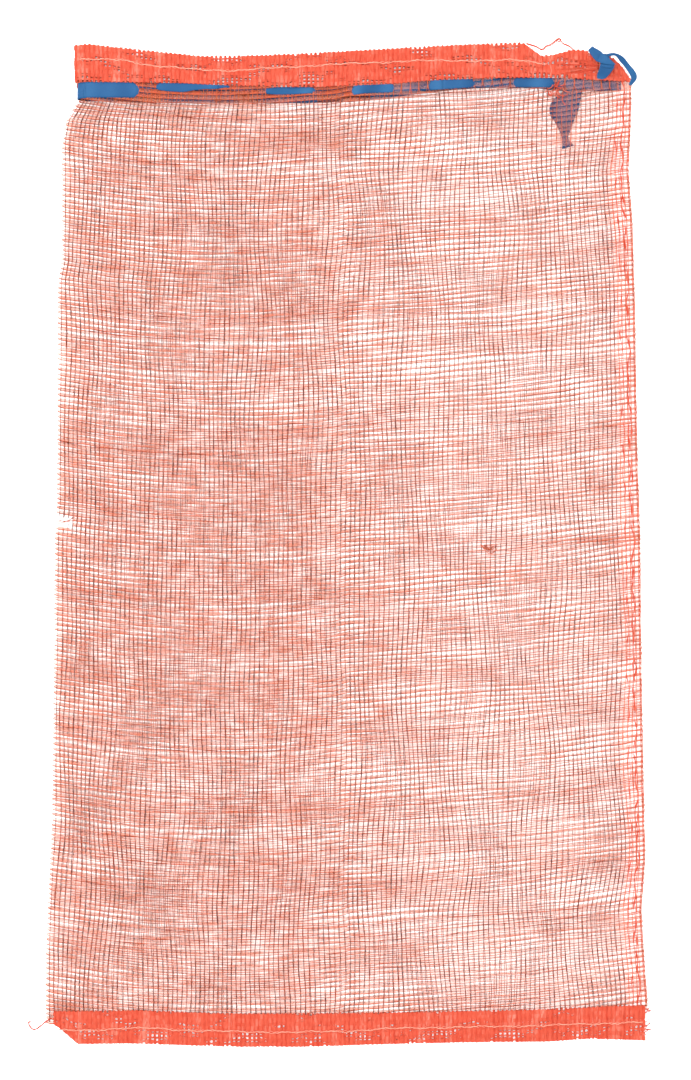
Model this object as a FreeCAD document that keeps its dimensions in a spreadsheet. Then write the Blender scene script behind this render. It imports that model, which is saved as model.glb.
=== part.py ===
import FreeCAD, Part
import os
import re

import Sketcher

# A drawstring mesh produce bag, lying flat with its mouth towards +Y.
# X is its width, Z its thickness. The origin is on the resting face, at the
# middle of the width and 4 mm below the crease where the bag folds in half.
# The cloth and the tape are soft: each zone of them is one plain closed solid.

# Driving dimensions in millimetres: name, value, meaning.
DIMENSIONS = [
    ("cloth_thickness", 0.8, "one layer of mesh cloth with its yarn crimp"),
    ("inner_gap", 7.0, "open height inside the bag as it lies"),
    ("crease_y", 4.0, "crease where the bag folds in half"),
    ("slit", 0.3, "half the gap between zones that fold or open"),
    ("crease_half_width", 245.7, "half width at the crease"),
    ("bottom_half_width", 252.0, "half width at the bottom hem"),
    ("bottom_depth", 421.0, "bottom edge, below the origin"),
    ("bottom_hem_depth", 391.0, "inner edge of the bottom hem"),
    ("bottom_hem_thickness", 3.2, "layers stacked in the bottom hem"),
    ("taper_depth", 368.0, "where the front starts to come down to the hem"),
    ("corner_cut", 22.0, "cut-off at the bottom left corner, along X"),
    ("corner_rise", 14.0, "cut-off at the bottom left corner, along Y"),
    ("shoulder_y", 340.0, "where the sides start to draw in"),
    ("shoulder_left", 239.8, "left edge at the shoulder"),
    ("neck_left", 224.7, "left edge inside the tape"),
    ("neck_y", 375.5, "bottom of the drawn-in neck"),
    ("mouth_left", 228.9, "left edge of the mouth hem"),
    ("mouth_right", 238.0, "right edge of the mouth hem"),
    ("mouth_hem_y", 389.5, "lower edge of the mouth hem"),
    ("mouth_y", 421.0, "highest point of the mouth edge"),
    ("mouth_hem_thickness", 1.6, "folded mouth hem, one side"),
    ("lip_y", 270.0, "line where the mouth lip starts to lift"),
    ("lip_right", 200.0, "right end of the lip, beside the knot"),
    ("side_gap", 0.4, "gap between the lip and the side folds"),
    ("fold_wall", 1.2, "thickness of the left fold"),
    ("seam_width", 7.0, "seam allowance on the right side"),
    ("seam_edge_height", 2.0, "height of the allowance at its outer edge"),
    ("seam_start", 0.2, "end of the seam allowance above the bottom hem"),
    ("thread_width", 0.9, "chain stitch, seen from above"),
    ("thread_height", 0.4, "chain stitch above the cloth"),
    ("bottom_thread_y", -405.5, "stitch line of the bottom hem"),
    ("tape_width", 13.5, "flat drawstring tape"),
    ("tape_thickness", 0.4, "flat drawstring tape"),
    ("tape_y", 382.0, "centre line of the tape"),
    ("tape_ramp", 5.0, "length over which the tape crosses the cloth"),
    ("tape_slack", 0.4, "room around the tape in its openings"),
    ("tape_outside_gap", 0.3, "tape above the cloth"),
    ("tape_end_x", 230.0, "right end of the straight runs"),
    ("pull_clear", 0.8, "pulled pieces above the hem"),
    ("knot_height", 4.8, "flat overhand knot"),
    ("taper_inset", 0.7, "each end of the front taper, inside the fold and the seam"),
    ("edge_dip", 2.0, "back of the mouth edge, below the front's highest point"),
    ("corner_fall", 7.0, "mouth's right corner: first step inwards, along X"),
    ("corner_span", 16.0, "mouth's right corner: second step inwards, along X"),
    ("corner_mid", 12.0, "mouth's right corner: height of the first step"),
    ("corner_top", 21.0, "mouth's right corner: height of the second step"),
    ("thread_inset", 10.0, "start of the bottom stitch line, inside the left edge"),
    ("thread_gap", 0.2, "side seam's stitch line, beside the cloth"),
    ("tape_lead", 6.0, "left end of the back run, inside the mouth's left fold"),
    ("tape_lag", 4.0, "right end of the back run, before the straight run's end"),
    ("tape_shift", 1.0, "back run below the front run's centre line"),
    ("turn_depth", 5.0, "tape round the left fold, outwards"),
    ("trim", 1.0, "amount by which a cut is larger than what it cuts"),
]

# Where the tape crosses the front and the back of the mesh, from the left.
FRONT_CROSSINGS = [-176, -159, -100.5, -67.5, -27.5, 6.5, 52.5, 71, 107, 140.5, 172.5]
BACK_CROSSINGS = [-196, -158, -112, -70, -24, 18, 64, 104, 150, 188]

# The mouth edge: place along X, and how far it dips below mouth_y.
MOUTH_EDGE = [(-124, 10.5), (-48, 9), (27, 4.5), (86, 1.2), (149, 0.01), (156, 7), (164, 10.5), (188, 5)]
BACK_EDGE = [(-124, 10.5), (-48, 9), (27, 4.5), (86, 2.5), (149, 3)]

# The bottom edge: place along X, and height above bottom_depth.
BOTTOM_EDGE = [(-182, 1.5), (-90, 0), (-6, 1.8), (120, 4), (204, 7)]

# The stitch line of the bottom hem: place along X, and height above bottom_thread_y.
BOTTOM_STITCH = [(-120, -1.5), (30, 2), (250, 3.5)]

# The thread end at the bottom left corner: distance outside the hem, and height above bottom_thread_y.
THREAD_TAIL = [(0, 6), (5, 3), (11, -2.5), (17, 1)]

# The frayed tuft at the bottom right corner: distance outside the hem, and place along Y.
TUFT = [(0, -392), (4, -394), (5, -398), (8, -400), (6, -404), (8, -409), (3, -410), (-1, -408)]

# The loose yarn at the mouth: place along X, and how far it dips below mouth_y.
LOOSE_YARN = [(153.2, 3.2), (162, 2.5), (171, 1.6), (177, 0), (183, 2.3), (189.5, 4)]

# The drawstring's end inside the bag: place along X, and depth below neck_y.
INNER_TAIL = [(185, 3), (197, 3), (194.5, 14), (191, 44), (180, 44), (170.5, 14)]

# The knotted end of the drawstring, seen from above: the loop's centre line to the side seam and
# its end there, and the outlines of the knot, the short end and the leg to the front of the hem.
LOOP_LINE = [(217, 408.5), (223, 409), (229, 407.5), (236, 400.5), (242, 393.5)]
LOOP_END = [(241.5, 393), (242, 393), (242, 384), (241.5, 384)]
KNOT = [(210, 404), (213, 409), (219, 411), (226, 405), (224, 400), (212, 399.5)]
SHORT_END = [(202.5, 415.5), (206.5, 419), (213.5, 414.5), (213, 409), (210, 404)]
FRONT_LEG = [(212, 399.5), (224, 400), (214.5, 391), (209.5, 391.5)]

# The stitch line of the mouth hem: place along X, and height above the hem's lower edge.
MOUTH_STITCH = [(-222, 17.5), (-163, 12.5), (-95, 9.5), (-47, 11.5), (4, 14.5), (60, 17), (150, 15)]

document = FreeCAD.newDocument("mesh_produce_bag")
sheet = document.addObject("Spreadsheet::Sheet", "Dims")
for row, (name, number, meaning) in enumerate(DIMENSIONS, start=1):
    sheet.set(f"A{row}", name)
    sheet.set(f"B{row}", str(number))
    sheet.setAlias(f"B{row}", name)
    sheet.set(f"C{row}", meaning)
document.recompute()

NAMES = {name for name, number, meaning in DIMENSIONS}
pieces = []


def bound(text):
    """Turns a rule written with the dimensions' names into an expression on the sheet."""
    def on_sheet(word):
        return "Dims." + word.group(0) if word.group(0) in NAMES else word.group(0)
    return re.sub(r"[a-z][a-z_]+", on_sheet, str(text))


def worked_out(text):
    """The present value of a rule, in millimetres."""
    return float(sheet.evalExpression(bound(text)))


def new_body(label, height="0"):
    """An empty body whose floor is at the given height."""
    body = document.addObject("PartDesign::Body", label)
    body.Label = label
    body.setExpression("Placement.Base.z", bound(height))
    pieces.append(body)
    return body


def draw(body, role, outlines):
    """A sketch on one origin plane: closed outlines of straight lines with bound corners."""
    sketch = body.newObject("Sketcher::SketchObject", body.Name + "_sketch")
    plane = [feature for feature in body.Origin.OriginFeatures if feature.Role == role][0]
    sketch.AttachmentSupport = [(plane, "")]
    sketch.MapMode = "FlatFace"
    for corners in outlines:
        first = sketch.GeometryCount
        count = len(corners)
        spots = [FreeCAD.Vector(worked_out(u), worked_out(v), 0) for u, v in corners]
        for index, spot in enumerate(spots):
            sketch.addGeometry(Part.LineSegment(spot, spots[(index + 1) % count]))
        for index, corner in enumerate(corners):
            line = first + index
            following = first + (index + 1) % count
            sketch.addConstraint(Sketcher.Constraint("Coincident", line, 2, following, 1))
            for kind, rule in zip(("DistanceX", "DistanceY"), corner):
                place = Sketcher.Constraint(kind, line, 1, worked_out(rule))
                number = sketch.addConstraint(place)
                sketch.setExpression(f"Constraints[{number}]", bound(rule))
    return sketch


def pad(body, sketch, thickness, reversed_way=False, both_ways=False):
    """Thickens a sketch."""
    feature = body.newObject("PartDesign::Pad", body.Name + "_pad")
    feature.Profile = sketch
    feature.Reversed = reversed_way
    feature.SideType = 2 if both_ways else 0
    feature.setExpression("Length", bound(thickness))
    document.recompute()


def pocket(body, sketch, depth, reversed_way=True):
    """Cuts a sketch through, and makes sure that something was cut."""
    before = body.Shape.Volume
    feature = body.newObject("PartDesign::Pocket", body.Name + "_pocket")
    feature.Profile = sketch
    feature.Reversed = reversed_way
    feature.setExpression("Length", bound(depth))
    document.recompute()
    if body.Shape.Volume >= before:
        raise RuntimeError(body.Label + ": the pocket cuts nothing")


def flat_piece(label, corners, thickness, height="0"):
    """A flat zone: an outline seen from above, given a thickness at a height."""
    body = new_body(label, height)
    pad(body, draw(body, "XY_Plane", [corners]), thickness)
    return body


def strip_corners(line, width):
    """The outline of a narrow strip along a line of places."""
    upper = [(x, f"{y} + {width} / 2") for x, y in line]
    lower = [(x, f"{y} - {width} / 2") for x, y in reversed(line)]
    return upper + lower


def strip(label, line, width, thickness, height):
    """A narrow flat strip, such as a stitch line."""
    return flat_piece(label, strip_corners(line, width), thickness, height)


FRONT_Z = "cloth_thickness + inner_gap"
TOP_Z = "2 * cloth_thickness + inner_gap"
HEM_Z = "cloth_thickness + inner_gap - mouth_hem_thickness / 4"
HEM_TOP_Z = "cloth_thickness + inner_gap + mouth_hem_thickness * 3 / 4"
BELOW_CREASE = "crease_y - slit"
ABOVE_CREASE = "crease_y + slit"


def lower_half():
    """The half with the bottom hem, from the hem up to the crease."""
    left_in_top = "-crease_half_width + fold_wall"
    left_in_low = "-bottom_half_width + fold_wall"
    right_in_top = "crease_half_width - seam_width"
    right_in_low = "bottom_half_width - seam_width"
    back = [(left_in_low, "-bottom_hem_depth"), (right_in_low, "-bottom_hem_depth"),
            (right_in_top, BELOW_CREASE), (left_in_top, BELOW_CREASE)]
    flat_piece("lower_back_mesh", back, "cloth_thickness")

    drawn_in = ("(bottom_half_width - crease_half_width) * (bottom_hem_depth - taper_depth)"
                " / (bottom_hem_depth + crease_y)")
    front = [(f"{left_in_low} + {drawn_in}", "-taper_depth"),
             (f"{right_in_low} - {drawn_in}", "-taper_depth"),
             (right_in_top, BELOW_CREASE), (left_in_top, BELOW_CREASE)]
    flat_piece("lower_front_mesh", front, "cloth_thickness", FRONT_Z)

    taper = new_body("bottom_front_taper")
    drop = "bottom_hem_thickness - cloth_thickness"
    side_view = [("-taper_depth", FRONT_Z), ("-taper_depth", TOP_Z),
                 ("-bottom_hem_depth", "bottom_hem_thickness"), ("-bottom_hem_depth", drop)]
    width = "2 * bottom_half_width - seam_width - fold_wall - 2 * taper_inset"
    pad(taper, draw(taper, "YZ_Plane", [side_view]), width, both_ways=True)
    taper.setExpression("Placement.Base.x", bound("(fold_wall - seam_width) / 2"))

    fold = new_body("lower_left_fold")
    wall = [("-bottom_half_width", "-bottom_hem_depth"), (left_in_low, "-bottom_hem_depth"),
            (left_in_top, BELOW_CREASE), ("-crease_half_width", BELOW_CREASE)]
    pad(fold, draw(fold, "XY_Plane", [wall]), TOP_Z)
    corner = [("-taper_depth", TOP_Z), ("-bottom_hem_depth", "bottom_hem_thickness"),
              ("-bottom_hem_depth - trim", TOP_Z)]
    pocket(fold, draw(fold, "YZ_Plane", [corner]), "bottom_half_width + trim", reversed_way=False)

    seam = side_seam("lower_right_seam", "bottom_half_width", "-bottom_hem_depth + seam_start",
                     "crease_half_width", BELOW_CREASE)
    rise = "bottom_hem_depth - taper_depth"
    corner = [(rise, TOP_Z), (0, "bottom_hem_thickness"), ("-trim", TOP_Z)]
    pocket(seam, draw(seam, "YZ_Plane", [corner]), "seam_width + trim", reversed_way=False)
    stitch = [("bottom_half_width - seam_width", "-taper_depth + trim"), (right_in_top, BELOW_CREASE)]
    seam_thread("lower_side_seam_thread", stitch)

    hem = [("-bottom_half_width", "-bottom_hem_depth"),
           ("-bottom_half_width", "-bottom_depth + corner_rise * 17 / 14"),
           ("-bottom_half_width + corner_cut / 3", "-bottom_depth + corner_rise"),
           ("-bottom_half_width + corner_cut", "-bottom_depth + corner_rise * 5 / 28")]
    hem += [(x, f"-bottom_depth + {rise}") for x, rise in BOTTOM_EDGE]
    hem += [("bottom_half_width - edge_dip", "-bottom_depth + corner_rise * 5 / 14"),
            ("bottom_half_width", "-bottom_hem_depth")]
    flat_piece("bottom_hem", hem, "bottom_hem_thickness")
    line = [("-bottom_half_width + thread_inset", "bottom_thread_y")]
    line += [(x, f"bottom_thread_y + {rise}") for x, rise in BOTTOM_STITCH]
    strip("bottom_hem_thread", line, "thread_width", "thread_height", "bottom_hem_thickness")
    tail = [(f"-bottom_half_width - {out}", f"bottom_thread_y + {rise}") for out, rise in THREAD_TAIL]
    strip("bottom_thread_tail", tail, "thread_width", "thread_width", "thread_width")
    tuft = [(f"bottom_half_width + {out}", y) for out, y in TUFT]
    flat_piece("bottom_frayed_tuft", tuft, "cloth_thickness", "cloth_thickness")


def side_seam(label, outer_low, y_low, outer_high, y_high):
    """The right side: the seam allowance, full height inside and thin at its outer edge."""
    body = new_body(label)
    section = [("-seam_width", 0), ("-0.001", 0), ("-0.001", "seam_edge_height"), ("-seam_width", TOP_Z)]
    pad(body, draw(body, "XZ_Plane", [section]), f"{y_high} - ({y_low})", reversed_way=True)
    body.setExpression("Placement.Base.x", bound(outer_low))
    body.setExpression("Placement.Base.y", bound(y_low))
    lean = f"atan(({outer_low} - {outer_high}) / ({y_high} - ({y_low})))"
    body.setExpression("Placement.Rotation.Angle", bound(lean))
    document.recompute()
    return body


def seam_thread(label, line):
    """The stitch line beside the right seam, on top of the bag."""
    inner = [(f"{x} + thread_gap", y) for x, y in line]
    outer = [(f"{x} + thread_gap + thread_width", y) for x, y in reversed(line)]
    flat_piece(label, inner + outer, "thread_height", TOP_Z)


def upper_half():
    """The half with the mouth, without the part of the front that lifts as a lip."""
    left_in = "-crease_half_width + fold_wall"
    right_in = "crease_half_width - seam_width"
    right_top = "mouth_right - seam_width"
    lip_rise = "(lip_y - crease_y) / (shoulder_y - crease_y)"
    left_at_lip = f"-crease_half_width + fold_wall + (crease_half_width - shoulder_left) * {lip_rise}"
    seam_rise = "(lip_y - crease_y) / (mouth_hem_y - crease_y)"
    right_at_lip = f"crease_half_width - seam_width - (crease_half_width - mouth_right) * {seam_rise}"

    back = [(left_in, ABOVE_CREASE), (right_in, ABOVE_CREASE), (right_top, "mouth_hem_y"),
            ("-mouth_left + fold_wall", "mouth_hem_y"), ("-neck_left + fold_wall", "neck_y"),
            ("-shoulder_left + fold_wall", "shoulder_y")]
    mesh = flat_piece("upper_back_mesh", back, "cloth_thickness")
    half_opening = "(tape_width / 2 + tape_slack)"
    windows = []
    for start, end in zip(BACK_CROSSINGS[0::2], BACK_CROSSINGS[1::2]):
        low = f"{start} - tape_ramp / 2 - tape_slack"
        high = f"{end} + tape_ramp / 2 + tape_slack"
        windows.append([(low, f"tape_y - tape_shift - {half_opening}"),
                        (high, f"tape_y - tape_shift - {half_opening}"),
                        (high, "mouth_hem_y"), (low, "mouth_hem_y")])
    pocket(mesh, draw(mesh, "XY_Plane", windows), "cloth_thickness")

    front = [(left_in, ABOVE_CREASE), (right_in, ABOVE_CREASE), (right_at_lip, "lip_y - slit"),
             (left_at_lip, "lip_y - slit")]
    flat_piece("upper_front_mesh", front, "cloth_thickness", FRONT_Z)

    corner = [("lip_right + slit", "lip_y - slit"), (right_at_lip, "lip_y - slit"),
              (right_top, "mouth_hem_y"), ("lip_right + slit", "mouth_hem_y")]
    flat_piece("mouth_front_corner", corner, "cloth_thickness", FRONT_Z)
    hem_corner = [("lip_right + slit", "mouth_hem_y"), ("mouth_right - trim", "mouth_hem_y"),
                  ("mouth_right - corner_fall", "mouth_hem_y + corner_mid"),
                  ("mouth_right - corner_span", "mouth_hem_y + corner_top"),
                  ("lip_right + slit", "mouth_hem_y + corner_top + turn_depth")]
    flat_piece("front_hem_corner", hem_corner, "mouth_hem_thickness", HEM_Z)

    wall = [("-crease_half_width", ABOVE_CREASE), (left_in, ABOVE_CREASE),
            ("-shoulder_left + fold_wall", "shoulder_y"), ("-shoulder_left", "shoulder_y")]
    flat_piece("upper_left_fold", wall, TOP_Z)
    neck = [("-shoulder_left + fold_wall", "shoulder_y"), ("-neck_left + fold_wall", "neck_y"),
            ("-mouth_left + fold_wall", "mouth_hem_y"), ("-mouth_left + fold_wall", "mouth_y - edge_dip"),
            ("-mouth_left", "mouth_y - edge_dip"), ("-mouth_left", "mouth_hem_y"), ("-neck_left", "neck_y"),
            ("-shoulder_left", "shoulder_y")]
    flat_piece("mouth_left_fold", neck, TOP_Z)

    side_seam("upper_right_seam", "crease_half_width", ABOVE_CREASE, "mouth_right", "mouth_hem_y")
    seam_thread("upper_side_seam_thread", [(right_in, ABOVE_CREASE), (right_top, "mouth_hem_y")])

    hem = [("-mouth_left + fold_wall", "mouth_hem_y"), ("mouth_right", "mouth_hem_y"),
           ("mouth_right - corner_fall", "mouth_hem_y + corner_mid"),
           ("mouth_right - corner_span", "mouth_hem_y + corner_top - trim")]
    hem += [(x, f"mouth_y - edge_dip - {dip}") for x, dip in reversed(BACK_EDGE)]
    hem += [("-mouth_left + fold_wall", "mouth_y - edge_dip - trim")]
    flat_piece("back_mouth_hem", hem, "mouth_hem_thickness")
    stitch = mouth_stitch_line() + [("mouth_right - corner_span", "mouth_hem_y + corner_mid")]
    strip("back_hem_thread", stitch, "thread_width", "thread_height", "mouth_hem_thickness")

    outside = "(cloth_thickness - tape_thickness) / 2"
    inside = "cloth_thickness + tape_slack / 2"
    line = tape_line("-mouth_left + fold_wall + tape_lead", BACK_CROSSINGS,
                     "tape_end_x - tape_lag", [inside, outside])
    tape_run("drawstring_back_run", line, "tape_y - tape_shift")


def mouth_stitch_line():
    """Places along the stitch line of the mouth hem."""
    return [(x, f"mouth_hem_y + {rise}") for x, rise in MOUTH_STITCH]


def tape_line(start, crossings, end, levels):
    """Side view of a tape that changes between two levels at each crossing."""
    line = [(start, levels[0])]
    for number, x in enumerate(crossings):
        line.append((f"{x} - tape_ramp / 2", levels[number % 2]))
        line.append((f"{x} + tape_ramp / 2", levels[(number + 1) % 2]))
    line.append((end, levels[len(crossings) % 2]))
    return line


def tape_run(label, line, centre):
    """A flat tape seen from the side as a line, as wide as the tape and centred on a place in Y."""
    body = new_body(label)
    upper = [(x, f"{z} + tape_thickness") for x, z in line]
    outline = upper + list(reversed(line))
    pad(body, draw(body, "XZ_Plane", [outline]), "tape_width", both_ways=True)
    body.setExpression("Placement.Base.y", bound(centre))


def mouth_lip():
    """The part of the front that lifts when the bag is opened, with its hem and tape."""
    lip_rise = "(lip_y - crease_y) / (shoulder_y - crease_y)"
    inner = "fold_wall + side_gap"
    left_at_lip = f"-crease_half_width + {inner} + (crease_half_width - shoulder_left) * {lip_rise}"
    right = "lip_right - slit"
    left_hem = f"-mouth_left + {inner}"
    mesh = flat_piece("mouth_front_mesh", [
        (left_at_lip, "lip_y + slit"), (right, "lip_y + slit"), (right, "mouth_hem_y"),
        (left_hem, "mouth_hem_y"), (f"-neck_left + {inner}", "neck_y"),
        (f"-shoulder_left + {inner}", "shoulder_y")], "cloth_thickness", FRONT_Z)
    half_opening = "(tape_width / 2 + tape_slack)"
    slots = []
    for x in FRONT_CROSSINGS:
        low = f"{x} - tape_ramp / 2"
        high = f"{x} + tape_ramp / 2"
        slots.append([(low, f"tape_y - {half_opening}"), (high, f"tape_y - {half_opening}"),
                      (high, "tape_y + tape_width / 2 + tape_slack / 4"),
                      (low, "tape_y + tape_width / 2 + tape_slack / 4")])
    pocket(mesh, draw(mesh, "XY_Plane", slots), "cloth_thickness")

    hem = [(left_hem, "mouth_hem_y"), (right, "mouth_hem_y"), (right, "mouth_y - 3 * edge_dip")]
    hem += [(x, f"mouth_y - {dip}") for x, dip in reversed(MOUTH_EDGE)]
    hem += [(left_hem, "mouth_y - edge_dip / 4")]
    flat_piece("front_mouth_hem", hem, "mouth_hem_thickness", HEM_Z)
    stitch = mouth_stitch_line() + [("lip_right - trim", "mouth_hem_y + corner_mid + trim")]
    strip("front_hem_thread", stitch, "thread_width", "thread_height", HEM_TOP_Z)
    loose = [(x, f"mouth_y - {dip}") for x, dip in LOOSE_YARN]
    strip("hem_frayed_strand", loose, "thread_width", "thread_width", FRONT_Z)

    under = "cloth_thickness + inner_gap - tape_thickness - tape_slack"
    over = "2 * cloth_thickness + inner_gap + tape_outside_gap"
    line = tape_line("-neck_left", FRONT_CROSSINGS, "lip_right - trim", [over, under])
    tape_run("drawstring_front_run", line, "tape_y")

    turn = new_body("drawstring_left_turn")
    outer = "-neck_left - turn_depth"
    side_view = [("-neck_left", f"{over} + tape_thickness"), (outer, f"{over} + tape_thickness"),
                 (f"{outer} - tape_thickness", over), (f"{outer} - tape_thickness", "tape_thickness * 2"),
                 (outer, "tape_thickness * 2"), (outer, over), ("-neck_left", over)]
    pad(turn, draw(turn, "XZ_Plane", [side_view]), "tape_width", both_ways=True)
    turn.setExpression("Placement.Base.y", bound("tape_y"))

    tail = [(x, f"neck_y - {depth}") for x, depth in INNER_TAIL]
    flat_piece("drawstring_inner_tail", tail, "tape_thickness",
               "cloth_thickness + inner_gap - 2 * tape_thickness - 2 * tape_slack")


def drawstring_pull():
    """What moves out when the drawstring is pulled: knot, loop, stub and the leg to the hem."""
    level = f"{HEM_TOP_Z} + pull_clear"
    loop = flat_piece("drawstring_right_loop", strip_corners(LOOP_LINE, "tape_width / 2.5"),
                      "tape_thickness", level)
    pad(loop, draw(loop, "XY_Plane", [LOOP_END]), "inner_gap / 2", reversed_way=True)
    flat_piece("drawstring_knot", KNOT, "knot_height", level)
    flat_piece("drawstring_stub_end", SHORT_END, "tape_thickness", level)
    flat_piece("drawstring_front_leg", FRONT_LEG, "tape_thickness", level)


lower_half()
upper_half()
mouth_lip()
drawstring_pull()
document.recompute()

for thing in document.Objects:
    if "Invalid" in thing.State or "Error" in thing.State:
        raise RuntimeError(f"{thing.Name} did not compute: {thing.State}")
os.makedirs("parts", exist_ok=True)
for body in pieces:
    if body.Shape.isNull() or not body.Shape.isValid() or not body.Shape.Solids:
        raise RuntimeError(body.Label + " is not a valid solid")
for body in pieces:
    body.Shape.exportStep(f"parts/{body.Label}.step")
    box = body.Shape.BoundBox
    print(f"{body.Label:26s} solids {len(body.Shape.Solids)} volume {body.Shape.Volume:9.0f}"
          f"  x {box.XMin:7.1f} {box.XMax:7.1f}  y {box.YMin:7.1f} {box.YMax:7.1f}"
          f"  z {box.ZMin:5.2f} {box.ZMax:5.2f}")
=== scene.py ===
"""The mesh produce bag: a flat sack of open leno mesh with a sewn side seam, hems and a drawstring tape."""

import bpy
import numpy as np
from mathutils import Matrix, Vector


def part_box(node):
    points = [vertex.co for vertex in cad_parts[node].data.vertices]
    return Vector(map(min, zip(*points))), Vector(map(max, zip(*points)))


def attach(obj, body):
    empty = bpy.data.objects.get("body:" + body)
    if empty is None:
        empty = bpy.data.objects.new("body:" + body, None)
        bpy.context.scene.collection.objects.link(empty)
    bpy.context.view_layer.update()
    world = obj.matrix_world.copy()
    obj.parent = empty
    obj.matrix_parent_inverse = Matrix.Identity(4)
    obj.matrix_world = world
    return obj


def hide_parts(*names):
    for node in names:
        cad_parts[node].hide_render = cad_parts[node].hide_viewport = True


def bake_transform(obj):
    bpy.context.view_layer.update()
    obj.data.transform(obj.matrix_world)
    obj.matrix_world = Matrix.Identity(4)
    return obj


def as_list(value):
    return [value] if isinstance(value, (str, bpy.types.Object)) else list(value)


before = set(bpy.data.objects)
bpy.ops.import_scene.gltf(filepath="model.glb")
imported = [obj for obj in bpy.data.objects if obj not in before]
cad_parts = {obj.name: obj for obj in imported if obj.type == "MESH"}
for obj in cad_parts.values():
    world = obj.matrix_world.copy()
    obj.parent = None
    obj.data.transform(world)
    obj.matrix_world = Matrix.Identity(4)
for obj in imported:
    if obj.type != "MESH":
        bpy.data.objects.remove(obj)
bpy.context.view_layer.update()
mm = 0.001
rng = np.random.default_rng(390)


# -------------------- layout, from the CAD frame
def node_box(node):
    """A CAD node's lowest and highest corner, in millimetres."""
    return [np.array(corner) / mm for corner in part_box(node)]


BACK_Z = node_box("lower_back_mesh")[1][2] + 0.1
FRONT_Z = node_box("lower_front_mesh")[0][2] + 0.1
MIDDLE_Z = (BACK_Z + FRONT_Z) / 2
FOLD_Y = (node_box("lower_back_mesh")[1][1] + node_box("upper_back_mesh")[0][1]) / 2
LIP_Y = node_box("mouth_front_mesh")[0][1] - 0.3
LIP_X = node_box("mouth_front_mesh")[1][0] + 0.3
LIP_LEFT_X = node_box("front_mouth_hem")[0][0] - 0.7
HEM_UNDER = node_box("bottom_hem")[1][2] / 2
MESH_LOW_Y = node_box("bottom_front_taper")[0][1]
BAND = 15  # half the height of the strip about the half fold
STRIP = 120  # width of the strips at the sides of the mouth

# Outlines, in millimetres, as (y, x) for the edges and (x, y) for the hems.
LEFT_EDGE = [
    (-421, -253), (-382, -253.7), (-340, -253.3), (-281.6, -250.7), (-231, -248.2), (-130, -247),
    (4, -245.7), (37.6, -244), (222.4, -243.2), (239.2, -239.8), (340, -239.8), (356.8, -236.5),
    (375.3, -224.7), (390.4, -228.5), (419.8, -228.9),
]
RIGHT_EDGE = [
    (-421, 252), (-382, 252.4), (-348.8, 249.9), (-306.8, 247.4), (-264.8, 250.7), (-147, 248.2),
    (-63, 247), (4, 246.5), (63, 244.4), (121.6, 243.2), (205, 241.9), (273, 239.8), (315, 236.5),
    (357, 238.6), (390, 239), (410, 239),
]
MOUTH_TOP = [
    (-229, 420), (-216.3, 420.7), (-170, 415.5), (-123.9, 410.6), (-85, 411), (-48.3, 412.3), (27.3, 416.5),
    (86.1, 419.8), (130, 421.6), (147, 422), (155, 416.2), (163, 410.8), (172, 411.6), (188.6, 416),
    (197, 415.6), (210, 413.5), (222.6, 410), (231.4, 401), (238.1, 390.6),
]
MOUTH_LOW = [
    (-229, 389.8), (-190, 389.3), (-140, 388.6), (-105, 386.8), (-60, 385.4), (-20, 385.4), (10, 386.8),
    (40, 388), (70, 391), (105, 392.3), (145, 393.2), (180, 393), (212, 391), (239, 390),
]
MOUTH_STITCH = [
    (-225, 407.2), (-190, 407.6), (-163.4, 402), (-130, 399.4), (-94.5, 398), (-47.5, 401.4), (3.8, 404),
    (55.9, 406.4), (94.5, 406.4), (140, 407), (165, 404),
]
BOTTOM_TOP = [
    (-254, -392.5), (-216, -392.5), (-174, -391.9), (-132, -393.7), (-90, -394.8), (-31, -394.6),
    (36, -393.8), (103, -392.4), (170, -391), (229, -388), (253, -387.6),
]
BOTTOM_LOW = [
    (-252.8, -398), (-245.7, -404.2), (-236, -411.5), (-226.4, -419.6), (-182.7, -419.2), (-132, -420.8),
    (-90, -422), (-31, -421.9), (36, -419.6), (103, -418.2), (170, -417.6), (203.7, -415.2),
    (249.9, -416.6),
]
BOTTOM_STITCH = [
    (-240.7, -408.5), (-216, -408), (-190, -406.8), (-163, -406.6), (-136, -408.2), (-90, -409.6),
    (-45, -410), (0, -409), (36, -406.9), (60, -406.2), (103, -405.6), (170, -404.2), (205, -402.8),
    (240.7, -401.7),
]
# The left edge without its short dents and the neck at the drawstring.
LEFT_TREND = [(-421, -253.5), (-130, -247.5), (222, -241.5), (420, -234)]
# The drawstring's front run, as (x, y) and (x, width), and the lowest line of the channel it lies in.
FRONT_TAPE = [
    (-228, 382.3), (-176, 382.2), (-159, 385.6), (-140, 384.6), (-113, 385.1), (-100, 386.1), (-85, 384.5),
    (-67, 381), (-45, 381.8), (-30, 382.2), (5, 381.6), (12, 383.1), (38, 384), (70, 386.5), (88, 387.4),
    (105, 388.1), (125, 389), (172, 388.6), (200, 387.6), (228, 387),
]
FRONT_WIDTH = [
    (-228, 13.4), (-176, 13.2), (-166, 11), (-160, 7), (-150, 8.6), (-137, 8.8), (-129, 6), (-119, 4.6),
    (-109, 5), (-101, 3.6), (-95, 10), (-72, 8), (-67, 4.6), (-60, 6.2), (-45, 6.7), (-30, 5.4), (-22, 9),
    (0, 9), (5, 7.6), (12, 8.2), (38, 8), (55, 9.5), (70, 9.4), (88, 8.6), (105, 7.8), (125, 8.4), (172, 9),
    (200, 10.5), (228, 10),
]
CHANNEL_LOW = [
    (-232, 373.4), (-164, 371.8), (-33, 371.6), (0, 372.4), (17, 374.2), (37, 376.2), (58, 379),
    (88, 382.5), (108, 384), (148, 384.4), (165, 383.5), (178, 381.6), (232, 381.6),
]
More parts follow.
